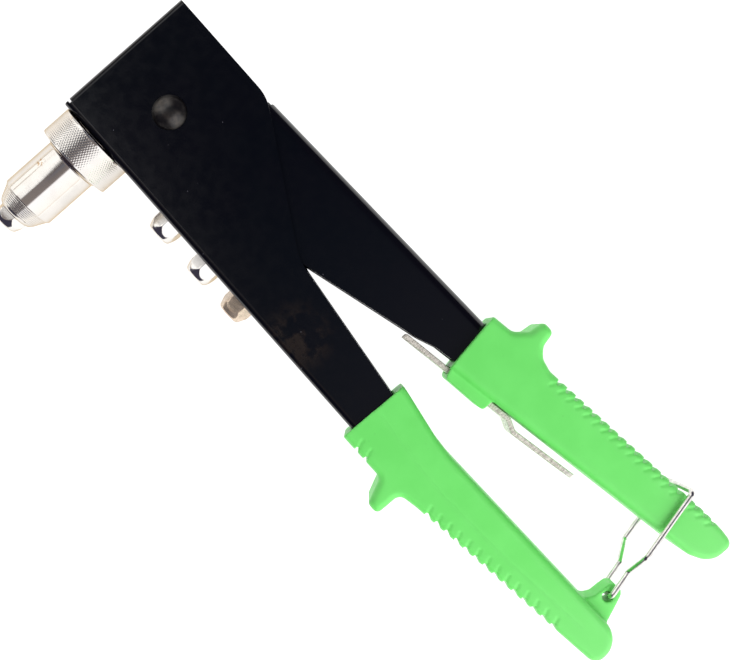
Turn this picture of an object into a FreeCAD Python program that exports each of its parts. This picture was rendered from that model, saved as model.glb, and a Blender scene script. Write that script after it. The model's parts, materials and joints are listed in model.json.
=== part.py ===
import FreeCAD, Part
import math
import os
import re
import Sketcher

# Long-arm hand riveter, lying flat on one side of its frame.
# Every sub-part is drawn about the handle pivot: X runs from the head to the grips along the
# frame's web, the nose points to -Y, and Z = 0 is the tool's middle plane. pivot_x, pivot_y and
# mid_height then place the pivot so that the origin is at the centre of the base.

Vector = FreeCAD.Vector
doc = FreeCAD.newDocument("hand_riveter")

DIMENSIONS = {
    # place of the pivot in the part's frame
    "pivot_x": -104.45,
    "pivot_y": 10.275,
    "mid_height": 14.1,
    # frame: one folded sheet, head and fixed arm
    "sheet_thick": 2.0,
    "frame_half": 10.5,
    "frame_bend": 2.5,
    "head_end_x": -26.8,
    "web_y": -24.9,
    "back_y": 28.3,
    "back_corner_x": 17.6,
    "throat_x": 66.5,
    "throat_y": -0.1,
    "arm_grip_x": 121.0,
    "arm_grip_y": -6.4,
    "arm_bend_x": 138.0,
    "arm_inner_bend_y": -8.6,
    "arm_end_x": 205.0,
    "arm_end_y": -16.6,
    "arm_inner_end_y": -6.9,
    "relief_len": 2.6,
    "relief_gap": 0.9,
    "web_setback": 0.8,
    "flap_seam": 0.6,
    "back_round": 15.0,
    "throat_round": 20.0,
    # pivot rivet
    "pivot_pin": 4.0,
    "pivot_clear": 0.08,
    "dome_rad": 6.0,
    "dome_high": 3.6,
    # moving lever: a channel nested inside the frame
    "lever_half": 8.2,
    "lever_bend": 4.7,
    "lever_web_x": 18.9,
    "lever_web_y": 28.8,
    "lever_bend_x": 128.0,
    "lever_bend_y": 33.3,
    "lever_end_x": 205.0,
    "lever_end_y": 42.3,
    "lever_inner_end_y": 31.2,
    "lever_inner_x": 127.5,
    "lever_inner_y": 16.7,
    "lever_knee_x": 113.0,
    "lever_knee_y": 12.4,
    "knee_round": 24.0,
    "lever_toe_x": 30.0,
    "lever_toe_y": -10.9,
    "cam_reach": 13.0,
    "cam_rad": 4.0,
    "cam_angle": 16.3,
    "cam_gap": 0.15,
    "cam_notch_x": -6.1,
    "cam_notch_y": 3.9,
    "lever_heel_x": -3.0,
    "lever_heel_y": 9.4,
    # nose, on the line X = nose_x
    "nose_x": -12.8,
    "neck_rad": 8.0,
    "rim_rad": 8.4,
    "rim_high": 1.5,
    "bush_rad": 9.4,
    "bush_end_y": -29.5,
    "collar_rad": 14.1,
    "collar_top_y": -25.0,
    "collar_end_y": -36.4,
    "step_rad": 10.9,
    "step_end_y": -37.6,
    "sleeve_rad": 9.85,
    "sleeve_end_y": -57.6,
    "cone_end_y": -64.0,
    "cone_low_rad": 7.3,
    "cone_end_rad": 6.1,
    "chamber_rad": 8.0,
    "chamber_end_y": -58.6,
    "seat_rad": 3.5,
    # nosepieces
    "hex_flats": 10.0,
    "hex_high": 4.9,
    "spare_head_high": 5.2,
    "stem_len": 4.0,
    "spare_stem_len": 6.6,
    "stub_len": 2.45,
    "spare_one_x": 25.9,
    "spare_two_x": 45.4,
    "spare_three_x": 62.8,
    "bore_fitted": 1.45,
    "bore_spare_one": 1.2,
    "bore_spare_two": 1.0,
    "bore_spare_three": 0.85,
    # jaw carriage
    "tube_rad": 5.0,
    "tube_bore": 2.6,
    "tube_clear": 0.08,
    "tube_top_y": 17.0,
    "tube_low_y": -39.5,
    "case_rad": 7.6,
    "case_low_y": -51.0,
    "case_top_y": -35.5,
    "case_mouth_rad": 4.35,
    "stop_rad": 7.6,
    "stop_high": 4.0,
    "nut_flats": 12.0,
    "nut_high": 3.2,
    "jaw_len": 6.5,
    "jaw_low_rad": 4.0,
    "jaw_top_rad": 5.6,
    "jaw_bore": 1.3,
    "jaw_sector": 112.0,
    "jaw_gap": 0.25,
    "push_rad": 4.6,
    "spring_wire": 1.0,
    "return_coil_rad": 6.4,
    "return_turns": 4.0,
    "push_coil_rad": 3.6,
    "push_wire": 0.8,
    "push_turns": 1.5,
    "jaw_back": 1.3,
    "coil_end_gap": 0.02,
    # grips
    "grip_half": 11.6,
    "grip_round": 2.6,
    "guard_round": 1.9,
    "guard_root": 4.0,
    "tip_round": 4.0,
    "upper_mouth_x": 128.5,
    "upper_pitch": 3.9,
    "lower_pitch": 4.35,
    # wire latch
    "wire_rad": 1.0,
    "latch_half": 13.1,
    "latch_foot_half": 5.7,
    "latch_pin_x": 223.5,
    "latch_pin_y": 3.4,
    "foot_inner": 0.8,
    "foot_bend": 1.6,
    "wire_bend": 2.2,
    "jog_low_x": 220.9,
    "jog_low_y": 13.9,
    "jog_high_x": 218.45,
    "jog_high_y": 21.3,
    "latch_bar_x": 212.4,
    "latch_bar_y": 47.35,
    "lug_hole_x": 223.3,
    "lug_hole_y": 2.6,
    "lug_hole_rad": 1.9,
    "lug_half": 4.2,
    # wrench for the nosepieces
    "wrench_half": 7.5,
    "wrench_thick": 1.9,
    "wrench_mouth": 10.3,
    "wrench_left_x": 109.2,
    "wrench_left_y": 9.8,
    "wrench_jog_x": 154.0,
    "wrench_jog_y": 17.4,
    "wrench_step_x": 158.6,
    "wrench_step_y": 15.6,
    "wrench_right_x": 183.2,
    "wrench_right_y": 20.7,
    "wrench_bend": 2.6,
    "mouth_deep": 8.8,
    "mouth_point": 3.0,
    "slot_from_x": 124.0,
    "slot_to_x": 150.0,
    "slot_clear": 0.2,
    "holder_half": 9.6,
}

sheet = doc.addObject("Spreadsheet::Sheet", "Sizes")
for row, (alias, amount) in enumerate(DIMENSIONS.items(), start=1):
    sheet.set(f"A{row}", alias)
    sheet.set(f"B{row}", str(amount))
    sheet.setAlias(f"B{row}", alias)
doc.recompute()

sub_parts = {}


def linked(formula):
    """The formula with each sheet alias written as a reference to the sheet."""
    def reference(match):
        word = match.group(0)
        return f"Sizes.{word}" if word in DIMENSIONS else word
    return re.sub(r"[a-z_]+", reference, str(formula))


def number(formula):
    """The formula's present value."""
    found = sheet.evalExpression(str(formula))
    return float(getattr(found, "Value", found))


def place(piece, along_x="0", along_y="0", turn=None):
    """Puts a sub-part, drawn about the pivot, into the part's frame."""
    if turn is not None:
        piece.Placement = FreeCAD.Placement(Vector(0, 0, 0), turn)
    piece.setExpression("Placement.Base.x", linked(f"pivot_x + {along_x}"))
    piece.setExpression("Placement.Base.y", linked(f"pivot_y + {along_y}"))
    piece.setExpression("Placement.Base.z", linked("mid_height"))


def keep(piece, node):
    piece.Label = node
    sub_parts[node] = piece


def new_body(node, along_x="0", along_y="0", turn=None):
    body = doc.addObject("PartDesign::Body", node)
    place(body, along_x, along_y, turn)
    keep(body, node)
    return body


def origin_plane(body, role):
    return next(item for item in body.Origin.OriginFeatures if item.Role == role)


def new_sketch(body, name, role):
    sketch = body.newObject("Sketcher::SketchObject", name)
    sketch.AttachmentSupport = [(origin_plane(body, role), "")]
    sketch.MapMode = "FlatFace"
    return sketch


def fix(sketch, kind, where, formula):
    """One driven constraint: a distance or radius that follows a formula of the sheet."""
    index = sketch.addConstraint(Sketcher.Constraint(kind, *where, number(formula)))
    sketch.setExpression(f"Constraints[{index}]", linked(formula))


def add_polygon(sketch, corners):
    """A closed outline of straight edges whose corners follow (x, y) formulas."""
    points = [Vector(number(x), number(y), 0) for x, y in corners]
    count = len(points)
    first = sketch.GeometryCount
    for index, point in enumerate(points):
        sketch.addGeometry(Part.LineSegment(point, points[(index + 1) % count]), False)
    for index in range(count):
        following = first + (index + 1) % count
        sketch.addConstraint(Sketcher.Constraint("Coincident", first + index, 2, following, 1))
    for index, (x, y) in enumerate(corners):
        fix(sketch, "DistanceX", (-1, 1, first + index, 1), x)
        fix(sketch, "DistanceY", (-1, 1, first + index, 1), y)


def add_circle(sketch, x, y, radius):
    centre = Vector(number(x), number(y), 0)
    index = sketch.addGeometry(Part.Circle(centre, Vector(0, 0, 1), number(radius)), False)
    fix(sketch, "DistanceX", (-1, 1, index, 3), x)
    fix(sketch, "DistanceY", (-1, 1, index, 3), y)
    fix(sketch, "Radius", (index,), radius)


def polygon_sketch(body, name, role, corners):
    sketch = new_sketch(body, name, role)
    add_polygon(sketch, corners)
    return sketch


def pad_through(body, sketch, half):
    """A pad that reaches half each side of the sketch's plane."""
    pad = body.newObject("PartDesign::Pad", sketch.Name + "_pad")
    pad.Profile = sketch
    pad.Midplane = True
    pad.setExpression("Length", linked(f"2 * ({half})"))
    sketch.Visibility = False
    doc.recompute()
    return pad


def pocket_through(body, sketch, half):
    """A pocket that reaches half each side of the sketch's plane."""
    before = body.Tip.Shape.Volume
    pocket = body.newObject("PartDesign::Pocket", sketch.Name + "_pocket")
    pocket.Profile = sketch
    pocket.Midplane = True
    pocket.setExpression("Length", linked(f"2 * ({half})"))
    doc.recompute()
    check_cut(pocket, before)
    return pocket


def check_cut(feature, before):
    """A cut that misses the solid, or eats it all, shows no error of its own."""
    after = feature.Shape.Volume
    if after >= before - 0.01 or after < before * 0.2:
        raise RuntimeError(f"{feature.Name} cuts wrongly: {before:.1f} to {after:.1f}")


def pad_one_way(body, sketch, length, backwards=False):
    pad = body.newObject("PartDesign::Pad", sketch.Name + "_pad")
    pad.Profile = sketch
    pad.Reversed = backwards
    pad.setExpression("Length", linked(length))
    doc.recompute()
    return pad


def pocket_one_way(body, sketch, length, backwards=False):
    before = body.Tip.Shape.Volume
    pocket = body.newObject("PartDesign::Pocket", sketch.Name + "_pocket")
    pocket.Profile = sketch
    pocket.Reversed = backwards
    pocket.setExpression("Length", linked(length))
    doc.recompute()
    check_cut(pocket, before)
    return pocket


def turned(body, name, profile):
    """A solid of revolution about the body's own Y axis; the profile is (radius, y) formulas."""
    sketch = polygon_sketch(body, name, "XY_Plane", profile)
    solid = body.newObject("PartDesign::Revolution", name + "_turn")
    solid.Profile = sketch
    solid.ReferenceAxis = (sketch, ["V_Axis"])
    solid.Angle = 360
    doc.recompute()
    return solid


def bored(body, name, profile):
    """A groove turned about the body's own Y axis."""
    before = body.Tip.Shape.Volume
    sketch = polygon_sketch(body, name, "XY_Plane", profile)
    groove = body.newObject("PartDesign::Groove", name + "_cut")
    groove.Profile = sketch
    groove.ReferenceAxis = (sketch, ["V_Axis"])
    groove.Angle = 360
    doc.recompute()
    check_cut(groove, before)
    return groove


def edge_middle(edge):
    return edge.valueAt((edge.FirstParameter + edge.LastParameter) / 2)


def round_edges(body, name, radius, chosen):
    """A fillet on every edge of the body's tip that the test picks."""
    base = body.Tip
    names = [f"Edge{index + 1}" for index, edge in enumerate(base.Shape.Edges) if chosen(edge)]
    if not names:
        raise RuntimeError(f"{name} finds no edge")
    fillet = body.newObject("PartDesign::Fillet", name)
    fillet.Base = (base, names)
    fillet.setExpression("Radius", linked(radius))
    doc.recompute()
    return fillet


def upright_at(*corners):
    """Picks the edges along Z that stand on the given (x, y) corners."""
    spots = [Vector(number(x), number(y), 0) for x, y in corners]

    def chosen(edge):
        ends = [vertex.Point for vertex in edge.Vertexes]
        if len(ends) != 2 or abs(ends[0].z - ends[1].z) < 0.5:
            return False
        flat = Vector(ends[0].x, ends[0].y, 0)
        return any((flat - spot).Length < 0.02 for spot in spots) and abs(ends[0].x - ends[1].x) < 0.01
    return chosen


def frame_outline():
    return [
        ("head_end_x", "web_y"),
        ("arm_bend_x", "web_y"),
        ("arm_end_x", "arm_end_y"),
        ("arm_end_x", "arm_inner_end_y"),
        ("arm_bend_x", "arm_inner_bend_y"),
        ("arm_grip_x", "arm_grip_y"),
        ("throat_x", "throat_y"),
        ("back_corner_x", "back_y"),
        ("head_end_x", "back_y"),
    ]


def make_body_channel():
    body = new_body("body_channel")
    outline = frame_outline()
    pad_through(body, polygon_sketch(body, "frame_outline", "XY_Plane", outline), "frame_half")
    round_edges(body, "frame_back_round", "back_round", upright_at(("back_corner_x", "back_y")))
    round_edges(body, "frame_throat_round", "throat_round", upright_at(("throat_x", "throat_y")))
    half = number("frame_half")
    web_y = number("web_y")
    end_x = number("head_end_x")
    front_x = number("arm_bend_x")

    def on_fold(edge):
        middle = edge_middle(edge)
        flat = abs(abs(middle.z) - half) < 0.01
        on_web = abs(middle.y - web_y) < 0.01
        on_end = abs(middle.x - end_x) < 0.01
        on_taper = middle.x > front_x and middle.y < number("arm_inner_bend_y") - 1
        return flat and (on_web or on_end or (on_taper and middle.x < number("arm_end_x") - 0.1))
    round_edges(body, "frame_folds", "frame_bend", on_fold)
    hollow = [
        ("head_end_x + sheet_thick", "web_y + sheet_thick"),
        ("arm_bend_x", "web_y + sheet_thick"),
        ("arm_end_x + 5", "arm_end_y + sheet_thick + 0.7"),
        ("arm_end_x + 5", "back_y + 5"),
        ("head_end_x + sheet_thick", "back_y + 5"),
    ]
    pocket_through(body, polygon_sketch(body, "frame_hollow", "XY_Plane", hollow),
                   "frame_half - sheet_thick")
    relief = [
        ("head_end_x - 1", "web_y - 1"),
        ("head_end_x + web_setback", "web_y - 1"),
        ("head_end_x + web_setback", "web_y + relief_len - relief_gap"),
        ("head_end_x + sheet_thick", "web_y + relief_len - relief_gap"),
        ("head_end_x + sheet_thick", "web_y + relief_len"),
        ("head_end_x - 1", "web_y + relief_len"),
    ]
    pocket_through(body, polygon_sketch(body, "corner_relief", "XY_Plane", relief),
                   "frame_half + 1")
    seam = [
        ("web_y + relief_len - 1", "-flap_seam / 2"),
        ("back_y + 1", "-flap_seam / 2"),
        ("back_y + 1", "flap_seam / 2"),
        ("web_y + relief_len - 1", "flap_seam / 2"),
    ]
    seam_cut = polygon_sketch(body, "flap_seam_slot", "YZ_Plane", seam)
    pocket_one_way(body, seam_cut, "-head_end_x + 1", backwards=False)
    web_holes = new_sketch(body, "web_holes", "XZ_Plane")
    add_circle(web_holes, "nose_x", "0", "neck_rad")
    for spare in ("spare_one_x", "spare_two_x", "spare_three_x"):
        add_circle(web_holes, spare, "0", "seat_rad")
    pocket_one_way(body, web_holes, "-web_y + 1", backwards=True)
    pin_hole = new_sketch(body, "pin_hole", "XY_Plane")
    add_circle(pin_hole, "0", "0", "pivot_pin")
    pocket_through(body, pin_hole, "frame_half + 1")


def make_pivot_rivet():
    """Domed both ends; turned about Z, so its body is rolled a quarter turn about X."""
    body = new_body("pivot_rivet", turn=FreeCAD.Rotation(Vector(1, 0, 0), 90))
    sketch = new_sketch(body, "rivet_profile", "XY_Plane")
    corners = [
        ("0", "-frame_half - dome_high"),
        ("dome_rad", "-frame_half"),
        ("pivot_pin", "-frame_half"),
        ("pivot_pin", "frame_half"),
        ("dome_rad", "frame_half"),
        ("0", "frame_half + dome_high"),
    ]
    points = [Vector(number(x), number(y), 0) for x, y in corners]
    ball = (number("dome_rad") ** 2 + number("dome_high") ** 2) / (2 * number("dome_high"))
    rise = number("frame_half + dome_high") - ball
    slope = math.asin(number("dome_rad") / ball)

    def dome(side):
        """The dome's arc on the half where x is positive; side is 1 above and -1 below."""
        middle = Vector(ball * math.sin(slope / 2), side * (rise + ball * math.cos(slope / 2)), 0)
        if side > 0:
            return Part.Arc(points[4], middle, points[5])
        return Part.Arc(points[0], middle, points[1])

    pieces = [
        dome(-1),
        Part.LineSegment(points[1], points[2]),
        Part.LineSegment(points[2], points[3]),
        Part.LineSegment(points[3], points[4]),
        dome(1),
        Part.LineSegment(points[5], points[0]),
    ]
    for piece in pieces:
        sketch.addGeometry(piece, False)
    for index in range(6):
        following = (index + 1) % 6
        sketch.addConstraint(Sketcher.Constraint("Coincident", index, 2, following, 1))
    for index, (x, y) in enumerate(corners):
        fix(sketch, "DistanceX", (-1, 1, index, 1), x)
        fix(sketch, "DistanceY", (-1, 1, index, 1), y)
    ball_rule = "(dome_rad ^ 2 + dome_high ^ 2) / (2 * dome_high)"
    fix(sketch, "Radius", (0,), ball_rule)
    fix(sketch, "Radius", (4,), ball_rule)
    solid = body.newObject("PartDesign::Revolution", "rivet_turn")
    solid.Profile = sketch
    solid.ReferenceAxis = (sketch, ["V_Axis"])
    solid.Angle = 360
    doc.recompute()


CAM_X = "(-cam_reach * cos(cam_angle * 1deg))"
CAM_Y = "(cam_reach * sin(cam_angle * 1deg))"


def make_lever_channel():
    body = new_body("lever_channel")
    outline = [
        (f"{CAM_X} + 0.4", f"{CAM_Y} - 3.6"),
        ("-7.5", "-9.5"),
        ("3", "-13.4"),
        ("lever_toe_x - 14", "lever_toe_y - 1.6"),
        ("lever_toe_x", "lever_toe_y"),
        ("lever_knee_x", "lever_knee_y"),
        ("lever_inner_x - 8", "lever_inner_y - 1.6"),
        ("lever_inner_x", "lever_inner_y"),
        ("lever_end_x", "lever_inner_end_y"),
        ("lever_end_x", "lever_end_y"),
        ("lever_bend_x", "lever_bend_y"),
        ("lever_web_x", "lever_web_y"),
        ("lever_web_x - 2.5", "lever_web_y - 4"),
        ("lever_heel_x", "lever_heel_y"),
        ("cam_notch_x", "cam_notch_y"),
        (f"{CAM_X} + 2", f"{CAM_Y} + 2.9"),
    ]
    pad_through(body, polygon_sketch(body, "lever_outline", "XY_Plane", outline), "lever_half")
    half = number("lever_half")

    def on_fold(edge):
        middle = edge_middle(edge)
        along = abs(edge.Vertexes[0].Point.x - edge.Vertexes[-1].Point.x) > 20
        return abs(abs(middle.z) - half) < 0.01 and along and middle.y > 30
    round_edges(body, "lever_folds", "lever_bend", on_fold)
    round_edges(body, "lever_knee_round", "knee_round", upright_at(("lever_knee_x", "lever_knee_y")))
    web_in = "sheet_thick * 1.01"
    hollow = [
        ("-30", "-30"),
        ("lever_end_x + 5", "-30"),
        ("lever_end_x + 5", f"lever_end_y + 0.58 - {web_in}"),
        ("lever_bend_x", f"lever_bend_y - {web_in}"),
        ("lever_web_x + 0.6", f"lever_web_y - {web_in}"),
        ("lever_web_x + 0.6", "lever_web_y + 12"),
        ("-30", "lever_web_y + 12"),
    ]
    pocket_through(body, polygon_sketch(body, "lever_hollow", "XY_Plane", hollow),
                   "lever_half - sheet_thick")
    for side, name in ((1, "cam_upper"), (-1, "cam_lower")):
        cam = new_sketch(body, name, "XY_Plane")
        cam.AttachmentOffset = FreeCAD.Placement(
            Vector(0, 0, side * number("lever_half - sheet_thick / 2")), FreeCAD.Rotation())
        cam.setExpression("AttachmentOffset.Base.z",
                          linked(f"{side} * (lever_half - sheet_thick / 2)"))
        add_circle(cam, CAM_X, CAM_Y, "cam_rad")
        pad_through(body, cam, "sheet_thick / 2")
    pin_hole = new_sketch(body, "lever_pin_hole", "XY_Plane")
    add_circle(pin_hole, "0", "0", "pivot_pin + pivot_clear")
    pocket_through(body, pin_hole, "lever_half + 1")


def make_nose_bushing():
    body = new_body("nose_bushing", along_x="nose_x")
    inner = "tube_rad + tube_clear"
    turned(body, "bushing", [
        (inner, "web_y + sheet_thick + rim_high"),
        (inner, "bush_end_y"),
        ("bush_rad", "bush_end_y"),
        ("bush_rad", "web_y"),
        ("neck_rad", "web_y"),
        ("neck_rad", "web_y + sheet_thick"),
        ("rim_rad", "web_y + sheet_thick"),
        ("rim_rad", "web_y + sheet_thick + rim_high"),
    ])


def make_nose_sleeve():
    body = new_body("nose_sleeve", along_x="nose_x")
    turned(body, "sleeve", [
        ("bush_rad", "collar_top_y"),
        ("bush_rad", "bush_end_y"),
        ("chamber_rad", "bush_end_y"),
        ("chamber_rad", "chamber_end_y"),
        ("seat_rad", "chamber_end_y"),
        ("seat_rad", "cone_end_y"),
        ("cone_end_rad", "cone_end_y"),
        ("cone_low_rad", "cone_end_y + 1.4"),
        ("sleeve_rad - 0.4", "sleeve_end_y - 0.4"),
        ("sleeve_rad", "sleeve_end_y + 0.2"),
        ("sleeve_rad", "step_end_y"),
        ("step_rad", "collar_end_y - 0.4"),
        ("step_rad + 0.9", "collar_end_y"),
        ("collar_rad - 0.5", "collar_end_y"),
        ("collar_rad", "collar_end_y + 0.5"),
        ("collar_rad", "collar_top_y - 0.5"),
        ("collar_rad - 0.5", "collar_top_y"),
    ])


def make_nosepiece(node, seat_y, along_x, head_high, stem, bore, quarter):
    """Hex head, chamfered tip and threaded stem; drawn with its seat at the body's origin."""
    turn = FreeCAD.Rotation(Vector(0, 1, 0), quarter)
    body = new_body(node, along_x=along_x, along_y=seat_y, turn=turn)
    flats = new_sketch(body, node + "_hex", "XZ_Plane")
    corner = "(hex_flats / 2 / cos(30deg))"
    corners = []
    for step in range(6):
        corners.append((f"{corner} * cos({60 * step}deg)", f"{corner} * sin({60 * step}deg)"))
    add_polygon(flats, corners)
    pad_one_way(body, flats, head_high, backwards=False)
    bored(body, node + "_chamfer", [
        (f"{corner} + 0.3", f"-({head_high}) + 4.6"),
        (f"{corner} + 0.3", f"-({head_high}) - 1"),
        ("hex_flats / 2 - 1.9", f"-({head_high}) - 1"),
        ("hex_flats / 2 - 1.1", f"-({head_high})"),
        ("hex_flats / 2 - 0.5", f"-({head_high}) + 0.5"),
    ])
    turned(body, node + "_stem", [
        ("0", "-1"),
        ("seat_rad", "-1"),
        ("seat_rad", f"{stem} - 0.4"),
        ("seat_rad - 0.4", stem),
        ("0", stem),
    ])
    bored(body, node + "_bore", [
        ("0", f"-({head_high}) - 1"),
        (bore, f"-({head_high}) - 1"),
        (bore, f"{stem} - 1.5"),
        (f"{bore} + 0.9", f"{stem} + 0.5"),
        ("0", f"{stem} + 0.5"),
    ])


JAW_LOW_Y = "(case_low_y + 0.3)"
JAW_TOP_Y = "(case_low_y + 0.3 + jaw_len)"
CONE_TOP_Y = f"({JAW_TOP_Y} + jaw_back + 0.3)"
CONE_TOP_RAD = (f"(case_mouth_rad + ({CONE_TOP_Y} - case_low_y)"
                " * (jaw_top_rad - jaw_low_rad) / jaw_len)")
PUSHER_Y = f"({JAW_TOP_Y} + 0.15)"


def make_carriage():
    """The parts that the lever pulls: tube, stop collar, lock nut and jaw case."""
    tube = new_body("draw_tube", along_x="nose_x")
    turned(tube, "tube", [
        ("tube_bore", "tube_top_y"),
        ("tube_bore", "tube_low_y"),
        ("tube_rad", "tube_low_y"),
        ("tube_rad", "tube_top_y - 0.6"),
        ("tube_rad - 0.6", "tube_top_y"),
    ])
    case = new_body("jaw_case", along_x="nose_x")
    turned(case, "case", [
        ("tube_rad", "case_top_y"),
        ("tube_rad", "tube_low_y"),
        (CONE_TOP_RAD, "tube_low_y"),
        (CONE_TOP_RAD, CONE_TOP_Y),
        ("case_mouth_rad", "case_low_y"),
        ("case_rad - 0.8", "case_low_y"),
        ("case_rad", "case_low_y + 0.8"),
        ("case_rad", "case_top_y"),
    ])
    stop_y = f"({CAM_Y} + cam_rad + cam_gap)"
    collar = new_body("draw_collar", along_x="nose_x")
    turned(collar, "collar", [
        ("tube_rad", stop_y),
        ("stop_rad", stop_y),
        ("stop_rad", f"{stop_y} + stop_high - 0.5"),
        ("stop_rad - 0.5", f"{stop_y} + stop_high"),
        ("tube_rad", f"{stop_y} + stop_high"),
    ])
    nut = new_body("lock_nut", along_x="nose_x", along_y=f"{stop_y} + stop_high")
    flats = new_sketch(nut, "nut_hex", "XZ_Plane")
    corner = "(nut_flats / 2 / cos(30deg))"
    corners = []
    for step in range(6):
        corners.append((f"{corner} * cos({60 * step}deg)", f"{corner} * sin({60 * step}deg)"))
    add_polygon(flats, corners)
    pad_one_way(nut, flats, "nut_high", backwards=True)
    nut_hole = new_sketch(nut, "nut_hole", "XZ_Plane")
    add_circle(nut_hole, "0", "0", "tube_rad")
    pocket_through(nut, nut_hole, "nut_high + 1")


def make_jaws():
    """Three sectors of a cone, each drawn about the nose line and moved out by its gap."""
    for index in range(3):
        node = f"jaw_{index + 1}"
        middle = 30 + 120 * index
        cone = doc.addObject("Part::Cone", node + "_cone")
        cone.setExpression("Radius1", linked("jaw_low_rad"))
        cone.setExpression("Radius2", linked("jaw_top_rad"))
        cone.setExpression("Height", linked("jaw_len"))
        cone.setExpression("Angle", linked("jaw_sector"))
        core = doc.addObject("Part::Cylinder", node + "_core")
        core.setExpression("Radius", linked("jaw_bore"))
        core.setExpression("Height", linked("jaw_len"))
        jaw = doc.addObject("Part::Cut", node)
        jaw.Base = cone
        jaw.Tool = core
        # the cone stands on Z; it is laid along Y and its sector is centred on its own angle
        start = middle - number("jaw_sector") / 2
        about_nose = FreeCAD.Rotation(Vector(0, 1, 0), start)
        jaw.Placement = FreeCAD.Placement(
            Vector(0, 0, 0), about_nose.multiply(FreeCAD.Rotation(Vector(1, 0, 0), -90)))
        out_x = math.cos(math.radians(middle))
        out_z = -math.sin(math.radians(middle))
        jaw.setExpression("Placement.Base.x", linked(f"pivot_x + nose_x + jaw_gap * {out_x:.6f}"))
        jaw.setExpression("Placement.Base.y", linked(f"pivot_y + {JAW_LOW_Y}"))
        jaw.setExpression("Placement.Base.z", linked(f"mid_height + jaw_gap * {out_z:.6f}"))
        keep(jaw, node)


def make_jaw_pusher():
    body = new_body("jaw_pusher", along_x="nose_x")
    face = PUSHER_Y
    turned(body, "pusher", [
        ("tube_bore - 0.6", face),
        ("push_rad", face),
        ("push_rad", f"{face} + 1"),
        ("tube_bore + 0.3", f"{face} + 1"),
        ("tube_bore + 0.3", f"{face} + 1.2"),
        ("tube_bore - 0.3", f"{face} + 1.2"),
        ("tube_bore - 0.3", f"{face} + 4.5"),
        ("tube_bore - 0.6", f"{face} + 4.5"),
    ])


def make_spring(node, coil, wire, turns, low_y, high_y):
    """A coil spring about the nose line between two heights."""
    clear = number(f"{wire} / 2 + coil_end_gap")
    length = number(high_y) - number(low_y) - 2 * clear
    path = Part.Wire(Part.makeLongHelix(length / number(turns), length, number(coil)).Edges)
    first = path.OrderedEdges[0]
    along = first.tangentAt(first.FirstParameter)
    ring = Part.Circle(first.valueAt(first.FirstParameter), along, number(wire) / 2)
    solid = path.makePipeShell([Part.Wire(ring.toShape())], True, True)
    spring = doc.addObject("Part::Feature", node)
    spring.Shape = solid
    upright = FreeCAD.Rotation(Vector(1, 0, 0), -90)
    spring.Placement = FreeCAD.Placement(
        Vector(number("pivot_x + nose_x"), number(f"pivot_y + {low_y}") + clear,
               number("mid_height")), upright)
    keep(spring, node)


def make_springs():
    make_spring("return_spring", "return_coil_rad", "spring_wire", "return_turns",
                "case_top_y", "bush_end_y")
    make_spring("pusher_spring", "push_coil_rad", "push_wire", "push_turns",
                f"({PUSHER_Y} + 1)", "tube_low_y")


def add_teeth(body, name, corners, pitch, count, slope_deg):
    """Equal notches through the grip's edge, stepped along the ridge."""
    sketch = new_sketch(body, name, "XY_Plane")
    for step in range(count):
        right = f"{step} * {pitch} * cos({slope_deg}deg)"
        up = f"{step} * {pitch} * sin({slope_deg}deg)"
        add_polygon(sketch, [(f"{x} + {right}", f"{y} + {up}") for x, y in corners])
    pocket_through(body, sketch, "grip_half + 1")


LOWER_TEETH = 14
LOWER_TEETH_SLOPE = 7.2
UPPER_TEETH = 19
UPPER_TEETH_SLOPE = 6.5


def rim_edges(skip):
    """The edges round the top and bottom faces of a grip, but for those the test skips."""
    half = number("grip_half")

    def chosen(edge):
        flat = all(abs(abs(vertex.Point.z) - half) < 0.01 for vertex in edge.Vertexes)
        middle = edge_middle(edge)
        return flat and abs(abs(middle.z) - half) < 0.01 and not skip(middle)
    return chosen


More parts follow.
